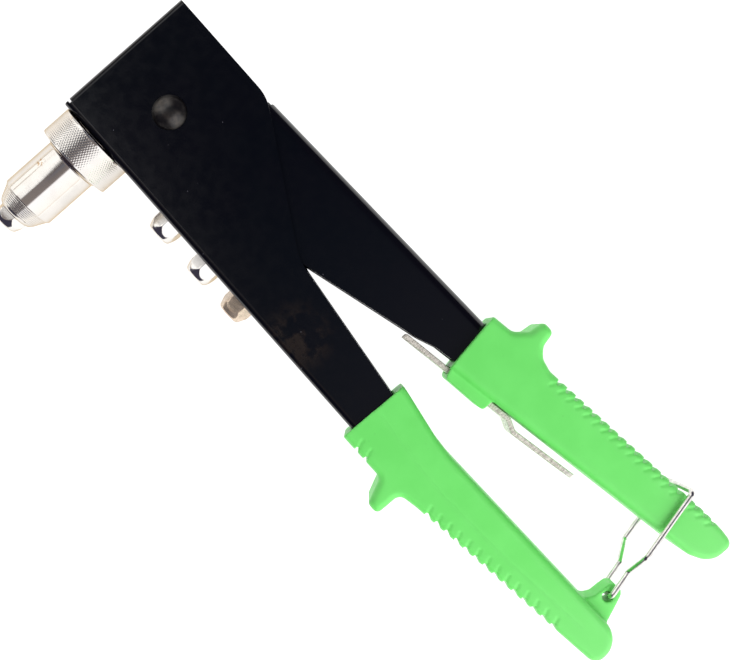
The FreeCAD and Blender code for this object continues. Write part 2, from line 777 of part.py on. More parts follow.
def make_lower_grip():
    body = new_body("lower_grip")
    outline = [
        ("120.9", "-28.7"),
        ("139.6", "-28.5"),
        ("143.6", "-37.5"),
        ("148.3", "-37.5"),
        ("148.5", "-27.4"),
        ("155.5", "-26.0"),
        ("226.4", "-17.0"),
        ("235.7", "-15.8"),
        ("235.7", "-3.3"),
        ("218.5", "-3.8"),
        ("150", "-5.8"),
        ("142.6", "-5.3"),
        ("123.4", "-2.1"),
        ("121.6", "-2.1"),
    ]
    pad_through(body, polygon_sketch(body, "lower_grip_outline", "XY_Plane", outline), "grip_half")
    round_edges(body, "lower_guard_tip", "guard_round",
                upright_at(("143.6", "-37.5"), ("148.3", "-37.5")))
    round_edges(body, "lower_guard_root", "guard_root - 1",
                upright_at(("139.6", "-28.5"), ("148.5", "-27.4")))
    round_edges(body, "lower_tip_out", "tip_round", upright_at(("235.7", "-15.8"), ))
    round_edges(body, "lower_tip_in", "tip_round * 2", upright_at(("235.7", "-3.3"), ))
    mouth_x = number("arm_grip_x") + 1.5
    round_edges(body, "lower_rims", "grip_round", rim_edges(lambda spot: spot.x < mouth_x))
    lug = [
        ("215.7", "-5"),
        ("218.8", "-3"),
        ("220.1", "-0.5"),
        ("220.5", "6.0"),
        ("222.0", "7.4"),
        ("224.6", "7.7"),
        ("226.0", "6.4"),
        ("227.7", "2.2"),
        ("229.8", "-3.4"),
        ("230.6", "-5"),
    ]
    pad_through(body, polygon_sketch(body, "lug_outline", "XY_Plane", lug), "lug_half")
    lug_hole = new_sketch(body, "lug_hole", "XY_Plane")
    add_circle(lug_hole, "lug_hole_x", "lug_hole_y", "lug_hole_rad")
    pocket_through(body, lug_hole, "lug_half + 1")
    socket = [
        ("arm_grip_x - 5", "web_y"),
        ("arm_bend_x", "web_y"),
        ("arm_end_x", "arm_end_y"),
        ("arm_end_x", "arm_inner_end_y"),
        ("arm_bend_x", "arm_inner_bend_y"),
        ("arm_grip_x - 5", "arm_grip_y + 0.6"),
    ]
    pocket_through(body, polygon_sketch(body, "arm_socket", "XY_Plane", socket), "frame_half")
    notch = [
        ("158.2", "-23.6"),
        ("161.6", "-24.9"),
        ("162.6", "-27.6"),
        ("160.4", "-27.6"),
    ]
    add_teeth(body, "lower_teeth", notch, "lower_pitch", LOWER_TEETH, LOWER_TEETH_SLOPE)
    ribs = [
        ("126.4", "-26.8"),
        ("127.6", "-26.9"),
        ("128.6", "-30"),
        ("127.2", "-30"),
    ]
    add_teeth(body, "mouth_ribs", ribs, "lower_pitch", 2, 0)


def make_upper_grip():
    body = new_body("upper_grip")
    outline = [
        ("127.5", "13.9"),
        ("158.1", "19.5"),
        ("228.5", "32.5"),
        ("235.8", "36.6"),
        ("235.8", "46.2"),
        ("230", "46.7"),
        ("222", "46.5"),
        ("151", "38.6"),
        ("146.2", "39.6"),
        ("143.1", "42.5"),
        ("141.8", "48.2"),
        ("136.8", "48.2"),
        ("136.2", "42.4"),
        ("132.4", "37.9"),
        ("124.2", "36.6"),
    ]
    pad_through(body, polygon_sketch(body, "upper_grip_outline", "XY_Plane", outline), "grip_half")
    round_edges(body, "upper_guard_tip", "guard_round",
                upright_at(("141.8", "48.2"), ("136.8", "48.2")))
    round_edges(body, "upper_guard_root", "guard_root",
                upright_at(("143.1", "42.5"), ("146.2", "39.6"), ("132.4", "37.9")))
    round_edges(body, "upper_tip_low", "tip_round + 3", upright_at(("228.5", "32.5"), ))
    round_edges(body, "upper_tip_end", "tip_round * 2", upright_at(("235.8", "36.6"), ))
    round_edges(body, "upper_tip_high", "tip_round - 1", upright_at(("235.8", "46.2"), ))
    mouth_x = number("upper_mouth_x")
    round_edges(body, "upper_rims", "grip_round", rim_edges(lambda spot: spot.x < mouth_x))
    holder = [
        ("128.7", "11.3"),
        ("129.8", "10.5"),
        ("145.0", "12.6"),
        ("145.7", "13.4"),
        ("145.6", "18.2"),
        ("127.6", "16.4"),
    ]
    pad_through(body, polygon_sketch(body, "wrench_holder", "XY_Plane", holder), "holder_half")
    slope = "(wrench_jog_y - wrench_left_y) / (wrench_jog_x - wrench_left_x)"
    near = f"wrench_left_y + {slope} * (slot_from_x - wrench_left_x)"
    far = f"wrench_left_y + {slope} * (slot_to_x - wrench_left_x)"
    slot = "(wrench_thick / 2 + slot_clear)"
    wrench_slot = [
        ("slot_from_x", f"{near} - {slot}"),
        ("slot_to_x", f"{far} - {slot}"),
        ("slot_to_x", f"{far} + {slot}"),
        ("slot_from_x", f"{near} + {slot}"),
    ]
    pocket_through(body, polygon_sketch(body, "wrench_slot", "XY_Plane", wrench_slot),
                   "wrench_half + slot_clear")
    socket = [
        ("lever_inner_x - 8", "lever_inner_y - 1.6"),
        ("lever_inner_x", "lever_inner_y"),
        ("lever_end_x", "lever_inner_end_y"),
        ("lever_end_x", "lever_end_y"),
        ("lever_bend_x", "lever_bend_y"),
        ("lever_bend_x - 10", "lever_bend_y - 0.41"),
    ]
    pocket_through(body, polygon_sketch(body, "lever_socket", "XY_Plane", socket), "lever_half")
    notch = [
        ("155.0", "37.2"),
        ("156.2", "37.2"),
        ("157.6", "41.5"),
        ("155.6", "41.5"),
    ]
    add_teeth(body, "upper_teeth", notch, "upper_pitch", UPPER_TEETH, UPPER_TEETH_SLOPE)


def make_wrench():
    """A bent strip with an open hex mouth at each end."""
    body = new_body("wrench")
    low = "- wrench_thick / 2"
    high = "+ wrench_thick / 2"
    line = [
        ("wrench_left_x", "wrench_left_y"),
        ("wrench_jog_x", "wrench_jog_y"),
        ("wrench_step_x", "wrench_step_y"),
        ("wrench_right_x", "wrench_right_y"),
    ]
    strip = [(x, f"{y} {low}") for x, y in line] + [(x, f"{y} {high}") for x, y in reversed(line)]
    pad_through(body, polygon_sketch(body, "strip", "XY_Plane", strip), "wrench_half")
    bends = [(x, f"{y} {side}") for x, y in line[1:3] for side in (low, high)]
    round_edges(body, "strip_bends", "wrench_bend", upright_at(*bends))
    left = [
        ("wrench_left_x - 5", "-wrench_mouth / 2"),
        ("wrench_left_x + mouth_deep", "-wrench_mouth / 2"),
        ("wrench_left_x + mouth_deep + mouth_point", "0"),
        ("wrench_left_x + mouth_deep", "wrench_mouth / 2"),
        ("wrench_left_x - 5", "wrench_mouth / 2"),
    ]
    right = [
        ("wrench_right_x + 5", "-wrench_mouth / 2"),
        ("wrench_right_x + 5", "wrench_mouth / 2"),
        ("wrench_right_x - mouth_deep", "wrench_mouth / 2"),
        ("wrench_right_x - mouth_deep - mouth_point", "0"),
        ("wrench_right_x - mouth_deep", "-wrench_mouth / 2"),
    ]
    pocket_through(body, polygon_sketch(body, "left_mouth", "XZ_Plane", left), "wrench_right_y + 5")
    pocket_through(body, polygon_sketch(body, "right_mouth", "XZ_Plane", right),
                   "wrench_right_y + 5")


def rounded_path(points, radii):
    """Straight runs joined by tangent arcs; a radius for each inner point."""
    edges = []
    start = points[0]
    for index in range(1, len(points) - 1):
        before = (points[index - 1] - points[index]).normalize()
        after = (points[index + 1] - points[index]).normalize()
        half_angle = before.getAngle(after) / 2
        reach = radii[index - 1] / math.tan(half_angle)
        enter = points[index] + before * reach
        leave = points[index] + after * reach
        inward = (before + after).normalize()
        centre = points[index] + inward * (radii[index - 1] / math.sin(half_angle))
        middle = centre - inward * radii[index - 1]
        edges.append(Part.LineSegment(start, enter).toShape())
        edges.append(Part.Arc(enter, middle, leave).toShape())
        start = leave
    edges.append(Part.LineSegment(start, points[-1]).toShape())
    return Part.Wire(edges)


def make_latch_bail():
    foot = number("latch_foot_half")
    wide = number("latch_half")
    pin_x = number("latch_pin_x")
    pin_y = number("latch_pin_y")
    half_line = [
        Vector(pin_x, pin_y, number("foot_inner")),
        Vector(pin_x, pin_y, foot),
        Vector(number("jog_low_x"), number("jog_low_y"), foot),
        Vector(number("jog_high_x"), number("jog_high_y"), wide),
        Vector(number("latch_bar_x"), number("latch_bar_y"), wide),
    ]
    mirrored = [Vector(point.x, point.y, -point.z) for point in reversed(half_line)]
    points = half_line + mirrored
    radii = [number("foot_bend")] + [number("wire_bend")] * 6 + [number("foot_bend")]
    path = rounded_path(points, radii)
    ring = Part.Wire(Part.Circle(points[0], Vector(0, 0, 1), number("wire_rad")).toShape())
    solid = path.makePipeShell([ring], True, True)
    bail = doc.addObject("Part::Feature", "latch_bail")
    bail.Shape = solid
    bail.Placement = FreeCAD.Placement(
        Vector(number("pivot_x"), number("pivot_y"), number("mid_height")), FreeCAD.Rotation())
    keep(bail, "latch_bail")


def check_and_export():
    doc.recompute()
    for item in doc.Objects:
        if "Invalid" in item.State or "Error" in item.State:
            raise RuntimeError(f"{item.Name} failed: {item.State}")
    os.makedirs("parts", exist_ok=True)
    box = FreeCAD.BoundBox()
    for node, piece in sub_parts.items():
        shape = piece.Shape
        if shape.isNull() or not shape.isValid() or shape.Volume <= 0:
            raise RuntimeError(f"{node} has no valid solid")
        shape.exportStep(f"parts/{node}.step")
        box.add(shape.optimalBoundingBox(False))
        print(f"{node}: {len(shape.Solids)} solid, {shape.Volume:.1f} mm3")
    print(f"{len(sub_parts)} nodes, X {box.XMin:.2f} {box.XMax:.2f}, "
          f"Y {box.YMin:.2f} {box.YMax:.2f}, Z {box.ZMin:.2f} {box.ZMax:.2f}")


make_body_channel()
make_pivot_rivet()
make_lever_channel()
make_nose_bushing()
make_nose_sleeve()
make_nosepiece("nosepiece_fitted", "cone_end_y", "nose_x", "hex_high", "stem_len + stub_len",
               "bore_fitted", 0)
make_nosepiece("spare_nosepiece_large", "web_y", "spare_one_x", "spare_head_high + 1.3",
               "spare_stem_len", "bore_spare_one", 30)
make_nosepiece("spare_nosepiece_medium", "web_y", "spare_two_x", "spare_head_high + 1.3",
               "spare_stem_len", "bore_spare_two", 30)
make_nosepiece("spare_nosepiece_small", "web_y", "spare_three_x", "spare_head_high + 1.3",
               "spare_stem_len", "bore_spare_three", 0)
make_carriage()
make_jaws()
make_jaw_pusher()
make_springs()
make_lower_grip()
make_upper_grip()
make_wrench()
make_latch_bail()
check_and_export()
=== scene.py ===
import json
import math

import bmesh
import bpy
import numpy as np
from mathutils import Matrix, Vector


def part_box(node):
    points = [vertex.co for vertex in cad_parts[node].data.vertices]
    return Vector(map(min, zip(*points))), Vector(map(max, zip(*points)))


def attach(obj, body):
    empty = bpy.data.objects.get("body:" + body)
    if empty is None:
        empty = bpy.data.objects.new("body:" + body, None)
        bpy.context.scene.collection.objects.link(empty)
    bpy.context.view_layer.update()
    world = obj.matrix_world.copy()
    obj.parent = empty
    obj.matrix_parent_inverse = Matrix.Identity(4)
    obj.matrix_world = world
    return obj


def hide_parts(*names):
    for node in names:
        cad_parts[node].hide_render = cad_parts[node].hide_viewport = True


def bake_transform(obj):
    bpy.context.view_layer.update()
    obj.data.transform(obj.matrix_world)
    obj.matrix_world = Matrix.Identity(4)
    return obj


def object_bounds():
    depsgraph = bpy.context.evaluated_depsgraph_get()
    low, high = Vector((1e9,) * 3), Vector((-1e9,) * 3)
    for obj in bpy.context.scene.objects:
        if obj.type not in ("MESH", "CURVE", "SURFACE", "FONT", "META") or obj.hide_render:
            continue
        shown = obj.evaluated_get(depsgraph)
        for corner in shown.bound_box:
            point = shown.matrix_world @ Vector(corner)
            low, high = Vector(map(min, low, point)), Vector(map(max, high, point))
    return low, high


# The looks of a long-arm hand riveter that lies on its side. Lengths are in millimetres from the
# handle pivot wherever a name or a comment says nothing else: X towards the grips, -Y where the
# nose points, Z up along the pivot. on_tool() turns them into metres in the row frame.

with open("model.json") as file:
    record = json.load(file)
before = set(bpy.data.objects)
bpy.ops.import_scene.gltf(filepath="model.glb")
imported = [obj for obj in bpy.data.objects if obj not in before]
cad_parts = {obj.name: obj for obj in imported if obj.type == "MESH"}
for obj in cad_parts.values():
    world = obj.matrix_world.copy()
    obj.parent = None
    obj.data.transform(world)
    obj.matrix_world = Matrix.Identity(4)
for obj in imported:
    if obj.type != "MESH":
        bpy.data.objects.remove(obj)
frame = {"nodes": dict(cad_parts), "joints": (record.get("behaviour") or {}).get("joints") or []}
CAD_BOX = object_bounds()

MM = 0.001
NODES = frame["nodes"]
JOINTS = {joint["name"]: joint for joint in frame["joints"]}
PIVOT = Vector(JOINTS["lever_hinge"]["pos_m"])


def on_tool(x, y, z=0.0):
    """A point in the row frame, in metres, from millimetres about the handle pivot."""
    return PIVOT + Vector((x, y, z)) * MM


def middle_of(node):
    low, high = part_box(node)
    return (low + high) / 2


NOSE_X = (middle_of("draw_tube").x - PIVOT.x) / MM


# ---------------------------------------------------------------------------------------------
# Shader nodes


class Graph:
    """A node tree with short ways to add nodes to it. A source is a socket or a constant."""

    def __init__(self, tree):
        self.tree = tree

    def add(self, kind, inputs=None, **settings):
        node = self.tree.nodes.new(kind)
        for name, setting in settings.items():
            setattr(node, name, setting)
        for socket, source in (inputs or {}).items():
            self.feed(node.inputs[socket], source)
        return node

    def feed(self, socket, source):
        if isinstance(source, bpy.types.NodeSocket):
            self.tree.links.new(source, socket)
        else:
            socket.default_value = source

    def sum_up(self, operation, first, second):
        node = self.add("ShaderNodeMath", {0: first, 1: second}, operation=operation)
        return node.outputs[0]

    def blend(self, factor, first, second, mode="MIX"):
        """first where the factor is 0 and second where it is 1; both are colours."""
        node = self.add("ShaderNodeMix", {0: factor}, data_type="RGBA", blend_type=mode)
        for socket, source in ((node.inputs[6], first), (node.inputs[7], second)):
            self.feed(socket, (*source, 1.0) if isinstance(source, tuple) else source)
        return node.outputs[2]

    def bands(self, value, low, high, stops):
        """A colour ramp over low..high, with stops of (place in the same unit, level or tint)."""
        span = self.add("ShaderNodeMapRange", {0: value, 1: low, 2: high})
        node = self.add("ShaderNodeValToRGB", {0: span.outputs[0]})
        elements = node.color_ramp.elements
        while len(elements) < len(stops):
            elements.new(0.5)
        for element, (place, tint) in zip(elements, stops):
            element.position = (place - low) / (high - low)
            element.color = (*tint, 1.0) if isinstance(tint, tuple) else (tint, tint, tint, 1.0)
        return node.outputs[0]


class Finish(Graph):
    """A Principled material fed by textures in the piece's own coordinates."""

    def __init__(self, name, **constants):
        self.material = bpy.data.materials.new(name)
        self.material.use_nodes = True
        super().__init__(self.material.node_tree)
        self.shader = self.tree.nodes["Principled BSDF"]
        for socket, amount in constants.items():
            self.shader.inputs[socket.replace("_", " ")].default_value = amount
        self.place = self.add("ShaderNodeTexCoord").outputs["Object"]

    def grain(self, size_mm, detail=3.0, place=None):
        """Soft noise whose blotches are about size_mm across."""
        inputs = {"Vector": place or self.place, "Scale": 1 / (size_mm * MM), "Detail": detail}
        return self.add("ShaderNodeTexNoise", inputs).outputs["Fac"]

    def stretched(self, x, y, z):
        """Coordinates scaled along each axis, for marks that run one way."""
        inputs = {0: self.place, 1: (x, y, z)}
        return self.add("ShaderNodeVectorMath", inputs, operation="MULTIPLY").outputs[0]

    def between(self, source, low, high, out_low=0.0, out_high=1.0):
        inputs = {"Value": source, 1: low, 2: high, 3: out_low, 4: out_high}
        node = self.add("ShaderNodeMapRange", inputs, interpolation_type="SMOOTHSTEP")
        return node.outputs[0]

    def near(self, centre, radius_mm, soft_mm):
        """1 within radius_mm of a point, falling to 0 over soft_mm."""
        inputs = {0: self.place, 1: tuple(centre)}
        node = self.add("ShaderNodeVectorMath", inputs, operation="DISTANCE")
        reach = node.outputs["Value"]
        return self.between(reach, radius_mm * MM, (radius_mm + soft_mm) * MM, 1.0, 0.0)

    def specks(self, spacing_mm, radius_mm, share):
        """Scattered dots: one in every few cells, as share says."""
        scale = 1 / (spacing_mm * MM)
        cells = self.add("ShaderNodeTexVoronoi", {"Vector": self.place, "Scale": scale})
        dot = self.between(cells.outputs["Distance"], radius_mm / spacing_mm * 0.6,
                           radius_mm / spacing_mm, 1.0, 0.0)
        pick = self.add("ShaderNodeSeparateColor", {0: cells.outputs["Color"]}).outputs[0]
        chosen = self.between(pick, 1 - share, 1 - share + 0.001)
        return self.sum_up("MULTIPLY", dot, chosen)

    def colour(self, source):
        self.feed(self.shader.inputs["Base Color"], source)

    def roughness(self, source):
        self.feed(self.shader.inputs["Roughness"], source)

    def relief(self, heights):
        """Chains bumps; heights is a list of (height socket, depth in mm)."""
        normal = None
        for height, depth_mm in heights:
            inputs = {"Height": height, "Distance": depth_mm * MM}
            node = self.add("ShaderNodeBump", inputs)
            if normal is not None:
                self.feed(node.inputs["Normal"], normal)
            normal = node.outputs["Normal"]
        self.feed(self.shader.inputs["Normal"], normal)


# ---------------------------------------------------------------------------------------------
# Materials

WORN_PATCH = on_tool(86, -17, 10.5)
BROWN_SPOT = on_tool(-17, -44, 9)
# centre of the painted highlight on the wrench's mouth
WRENCH_MOUTH = on_tool(182, 20.7)
TIP_START_X = on_tool(185, 0).x
TIP_END_X = on_tool(238, 0).x


def black_paint():
    """Gloss black with a worn brown patch on the arm and a little dust."""
    blue_black, black = (0.0009, 0.0014, 0.0032), (0.0016, 0.0016, 0.0036)
    rust, dust_grey = (0.020, 0.011, 0.006), (0.12, 0.12, 0.14)
    finish = Finish("black_paint", IOR=1.5)
    cloud = finish.between(finish.grain(38), 0.35, 0.65)
    base = finish.blend(cloud, blue_black, black)
    patch = finish.near(WORN_PATCH, 3, 12)
    broken = finish.between(finish.grain(4.5, 5), 0.42, 0.62)
    worn = finish.sum_up("MULTIPLY", patch, broken)
    base = finish.blend(finish.sum_up("MULTIPLY", worn, 0.55), base, rust)
    dust = finish.specks(3.2, 0.17, 0.18)
    finish.colour(finish.blend(dust, base, dust_grey))
    rough = finish.between(finish.grain(3.2), 0.3, 0.7, 0.13, 0.18)
    finish.roughness(finish.sum_up("ADD", rough, finish.sum_up("MULTIPLY", worn, 0.18)))
    finish.relief([(finish.grain(0.9, 2), 0.002), (finish.grain(14, 2), 0.02)])
    return finish.material


def paint_edge():
    """The paint where it thins over bends and cut edges, with a few chips down to steel."""
    full_paint, thin_paint, steel = (0.004, 0.005, 0.007), (0.016, 0.016, 0.018), (0.42, 0.40, 0.37)
    finish = Finish("paint_edge", IOR=1.5)
    thin = finish.between(finish.grain(2.4, 4), 0.3, 0.75)
    base = finish.blend(thin, full_paint, thin_paint)
    chips = finish.between(finish.grain(1.1, 4), 0.74, 0.77)
    finish.colour(finish.blend(chips, base, steel))
    finish.feed(finish.shader.inputs["Metallic"], chips)
    finish.roughness(finish.between(thin, 0, 1, 0.16, 0.26))
    finish.relief([(finish.grain(0.6, 2), 0.008)])
    return finish.material


def green_grip():
    """Soft moulded green, paler towards the tips, with a fine skin and a little dirt."""
    green, light_green = (0.152, 0.735, 0.136), (0.167, 0.77, 0.151)
    tip_green, dirty_green = (0.205, 0.77, 0.186), (0.09, 0.38, 0.08)
    finish = Finish("green_grip", IOR=1.46)
    cloud = finish.between(finish.grain(11, 3), 0.3, 0.7)
    base = finish.blend(cloud, green, light_green)
    along = finish.add("ShaderNodeSeparateXYZ", {0: finish.place}).outputs[0]
    tip = finish.between(along, TIP_START_X, TIP_END_X, 0.0, 0.7)
    base = finish.blend(tip, base, tip_green)
    dirt = finish.between(finish.grain(1.7, 4), 0.66, 0.80, 0.0, 0.12)
    finish.colour(finish.blend(dirt, base, dirty_green))
    finish.roughness(finish.between(finish.grain(2.2), 0.3, 0.7, 0.40, 0.50))
    finish.relief([(finish.grain(0.35, 2), 0.010), (finish.grain(6, 2), 0.05)])
    return finish.material


def darker(tone, share):
    return tuple(share * part for part in tone)


def chrome_plate(name, tone, rough, spotted=False):
    """Bright plate over turned steel: fine rings run round the nose line, and the plate looks
    yellowish where it is seen edge-on."""
    brown, edge_tint = (0.46, 0.27, 0.09), (0.70, 0.58, 0.42, 1.0)
    finish = Finish(name, Metallic=1.0, IOR=2.5, Specular_Tint=edge_tint)
    cloud = finish.between(finish.grain(5, 3), 0.35, 0.7)
    base = finish.blend(cloud, tone, darker(tone, 0.94))
    if spotted:
        spot = finish.near(BROWN_SPOT, 0.3, 1.9)
        broken = finish.between(finish.grain(0.9, 4), 0.45, 0.6)
        stain = finish.sum_up("MULTIPLY", spot, broken)
        base = finish.blend(stain, base, brown)
    finish.colour(base)
    rings = finish.grain(1.0, 2, finish.stretched(0.02, 9.0, 0.02))
    finish.roughness(finish.between(rings, 0.3, 0.7, rough, rough + 0.05))
    finish.relief([(rings, 0.0012), (finish.grain(2.5, 2), 0.004)])
    return finish.material


def plain_steel(name, tone, rough, grain_mm=1.2, metallic=1.0, mottle=0.0):
    """Bare or plated steel with brushed marks along X and a cloudy tone."""
    finish = Finish(name, Metallic=metallic, IOR=2.5)
    cloud = finish.between(finish.grain(grain_mm * 3, 4), 0.3, 0.7)
    base = finish.blend(cloud, tone, darker(tone, 0.78))
    stain = finish.between(finish.grain(0.55, 3), 0.46, 0.58, 0.0, mottle)
    base = finish.blend(stain, base, darker(tone, 0.30))
    pits = finish.specks(0.9, 0.12, 0.22)
    finish.colour(finish.blend(pits, base, darker(tone, 0.35)))
    marks = finish.grain(0.8, 3, finish.stretched(0.12, 3.0, 3.0))
    finish.roughness(finish.between(marks, 0.3, 0.7, rough, rough + 0.10))
    finish.relief([(marks, 0.004), (finish.grain(grain_mm, 2), 0.01)])
    return finish.material


def wrench_plate():
    """Cut edges of a stamped strip: fine shear marks across it and a painted highlight in white
    round the mouth.
    """
    steel, light_steel, spot_grey, mouth_highlight = (
        (0.50, 0.46, 0.39), (0.92, 0.87, 0.77), (0.20, 0.18, 0.16), (1.0, 1.0, 1.0))
    finish = Finish("wrench_plate", Metallic=0.3, IOR=2.5)
    shear = finish.between(finish.grain(0.8, 3, finish.stretched(3.2, 0.5, 0.5)), 0.40, 0.60)
    base = finish.blend(shear, steel, light_steel)
    spots = finish.between(finish.grain(0.35, 3), 0.56, 0.66, 0.0, 0.5)
    base = finish.blend(spots, base, spot_grey)
    # painted highlight: the mouth is painted white where its face would mirror the light
    bright = finish.near(WRENCH_MOUTH, 3.0, 6.0)
    finish.colour(finish.blend(bright, base, mouth_highlight))
    finish.roughness(finish.between(finish.grain(0.7, 2), 0.3, 0.7, 0.26, 0.36))
    finish.relief([(shear, 0.03), (finish.grain(0.7, 2), 0.02)])
    return finish.material


def oxide_steel():
    """The riveted pin: blackened steel that still shines."""
    brown_black, grey_black = (0.092, 0.084, 0.078), (0.062, 0.060, 0.060)
    finish = Finish("oxide_steel", Metallic=1.0, IOR=2.5)
    cloud = finish.between(finish.grain(1.6, 4), 0.3, 0.7)
    finish.colour(finish.blend(cloud, brown_black, grey_black))
    finish.roughness(finish.between(finish.grain(0.7, 3), 0.3, 0.7, 0.34, 0.40))
    finish.relief([(finish.grain(1.5, 2), 0.004)])
    return finish.material


BLACK = black_paint()
BLACK_EDGE = paint_edge()
OXIDE = oxide_steel()
GREEN = green_grip()
CHROME = chrome_plate("chrome_plate", (0.76, 0.73, 0.69), 0.07, spotted=True)
CHROME_HEX = chrome_plate("chrome_hex", (0.80, 0.78, 0.75), 0.10)
# the small spare's brownish tone is a painted reflection of the warm floor that its flats mirror
HEX_PAINTED_REFLECTION = plain_steel("hex_painted_reflection", (0.80, 0.64, 0.49), 0.13, 0.9, metallic=0.72, mottle=0.3)
WRENCH_STEEL = wrench_plate()
WRENCH_EDGE = plain_steel("wrench_edge", (0.13, 0.12, 0.11), 0.25, 0.7)
WIRE_STEEL = plain_steel("latch_wire", (0.84, 0.82, 0.79), 0.16, grain_mm=0.8)
TURNED_STEEL = plain_steel("machined_steel", (0.46, 0.46, 0.47), 0.26)
JAW_STEEL = plain_steel("jaw_steel", (0.20, 0.20, 0.21), 0.30)
SPRING_STEEL = plain_steel("spring_steel", (0.42, 0.42, 0.44), 0.20)


# ---------------------------------------------------------------------------------------------
# Mesh makers


def linked(name, mesh, materials, body):
    """A new piece of the tool that rides on a body."""
    piece = bpy.data.objects.new(name, mesh)
    bpy.context.scene.collection.objects.link(piece)
    for material in materials:
        mesh.materials.append(material)
    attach(piece, body)
    return piece


def shade(mesh, sharp_deg):
    mesh.shade_smooth()
    mesh.set_sharp_from_angle(angle=math.radians(sharp_deg))


WELD = 2e-6
FLAT_DEG = 0.8
SHARP_DEG = 40


def welded(node):
    """A CAD node's mesh with its split corners joined, so that it is one closed skin."""
    shape = bmesh.new()
    shape.from_mesh(NODES[node].data)
    bmesh.ops.remove_doubles(shape, verts=shape.verts, dist=WELD)
    return shape


def settled(shape, name):
    """The finished bmesh as a mesh without materials."""
    mesh = bpy.data.meshes.new(name)
    shape.to_mesh(mesh)
    shape.free()
    mesh.materials.clear()
    return mesh


def broken_edges(node, name, width_mm, materials, body, segments=2, sharp_deg=32):
    """A CAD node copied with its sharp edges broken by a small radius; the radius gets the
    second material."""
    shape = welded(node)
    bmesh.ops.dissolve_limit(shape, angle_limit=math.radians(FLAT_DEG), verts=shape.verts,
                             edges=shape.edges)
    sharp = [edge for edge in shape.edges
             if edge.is_manifold and edge.calc_face_angle() > math.radians(sharp_deg + 2)]
    bmesh.ops.bevel(shape, geom=sharp, offset=width_mm * MM, offset_type="OFFSET",
                    segments=segments, profile=0.5, affect="EDGES", clamp_overlap=True,
                    material=min(1, len(materials) - 1))
    bmesh.ops.triangulate(shape, faces=[face for face in shape.faces if len(face.verts) > 4])
    mesh = settled(shape, name)
    shade(mesh, sharp_deg)
    piece = linked(name, mesh, materials, body)
    flats = piece.modifiers.new("flats", "WEIGHTED_NORMAL")
    flats.weight = 100
    flats.keep_sharp = True
    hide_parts(node)
    return piece


def divided(first, last, steps):
    """Points along a straight run, without its last end."""
    return [Vector(first).lerp(Vector(last), step / steps) for step in range(steps)]


def turned(name, outline, steps, to_row, bulge=None):
    """A closed solid of revolution. The outline is (radius, height) points in mm, to_row places
    (side, side, height) in the row frame, and bulge adds to the radius."""
    points = []
    for radius, height in outline:
        for step in range(steps):
            turn = 2 * math.pi * step / steps
            reach = radius + (bulge(turn, radius, height) if bulge else 0.0)
            points.append(to_row(reach * math.cos(turn), reach * math.sin(turn), height))
    faces = []
    rings = len(outline)
    for ring in range(rings):
        here, following = ring * steps, (ring + 1) % rings * steps
        for step in range(steps):
            across = (step + 1) % steps
            faces.append((here + step, here + across, following + across, following + step))
    mesh = bpy.data.meshes.new(name)
    mesh.from_pydata(points, [], faces)
    shape = bmesh.new()
    shape.from_mesh(mesh)
    bmesh.ops.remove_doubles(shape, verts=shape.verts, dist=WELD)
    bmesh.ops.recalc_face_normals(shape, faces=shape.faces)
    shape.to_mesh(mesh)
    shape.free()
    return mesh


# ---------------------------------------------------------------------------------------------
# Nose sleeve: knurled collar, shoulder, plain barrel and turned cone

KNURL_COUNT = 100
KNURL_RISE = 1.5
KNURL_DEPTH = 0.09
KNURL_FADE = 0.25
KNURL_LOW, KNURL_HIGH = -35.7, -25.9
COLLAR_RAD = 14.05
COLLAR_BACK_Y = -25.0
COLLAR_FRONT_Y = -36.4
COLLAR_RIM = 0.35
COLLAR_RINGS = 88
BARREL_RAD = 9.85
BARREL_START_Y = -38.2
BARREL_END_Y = -57.5
BARREL_LAND = 0.25
BARREL_RINGS = 12
CONE_START = (9.45, -58.0)
CONE_END = (7.3, -62.6)
RING_PITCH = 0.72
RING_DEPTH = 0.16
RING_STEPS = 6
# (radius, y) along the sleeve: the bore's back edge, the step under the collar, and the nose end
# with its two bores
BORE_EDGE = [(9.4, -29.5), (9.4, -25.1), (9.5, -25.0)]
COLLAR_STEP = [(12.0, -36.42), (11.6, -36.5), (11.1, -36.75), (10.85, -37.0), (10.5, -37.3),
               (10.05, -37.5), (BARREL_RAD, -37.75)]
NOSE_END = [(6.9, -63.2), (6.3, -63.8), (5.7, -64.0), (3.6, -64.0), (3.5, -63.9), (3.5, -58.6),
            (8.0, -58.6), (8.0, -29.5)]


def knurl(turn, radius, height):
    """Two crossing sets of grooves cut into the collar, fading at its rims."""
    if abs(radius - COLLAR_RAD) > 0.02 or not KNURL_LOW <= height <= KNURL_HIGH:
        return 0.0
    around = KNURL_COUNT * turn / (2 * math.pi)
    along = height / KNURL_RISE
    deepest = 0.0
    for lean in (1, -1):
        phase = (around + lean * along) % 1.0
        deepest = max(deepest, 1 - abs(phase - 0.5) * 2)
    rim = min(height - KNURL_LOW, KNURL_HIGH - height)
    return -KNURL_DEPTH * max(0.0, deepest - KNURL_FADE) * min(1.0, rim / KNURL_FADE)


def cone_rings():
    """The cone's line with the shallow rings that the lathe left."""
    first, last = Vector(CONE_START), Vector(CONE_END)
    length = (last - first).length
    outward = Vector((-(last - first).y, (last - first).x)).normalized()
    steps = int(length / RING_PITCH) * RING_STEPS
    points = []
    for step in range(1, steps):
        part = step / steps
        wave = math.cos(2 * math.pi * part * length / RING_PITCH)
        points.append(first.lerp(last, part) - outward * RING_DEPTH * (0.5 + 0.5 * wave))
    return points


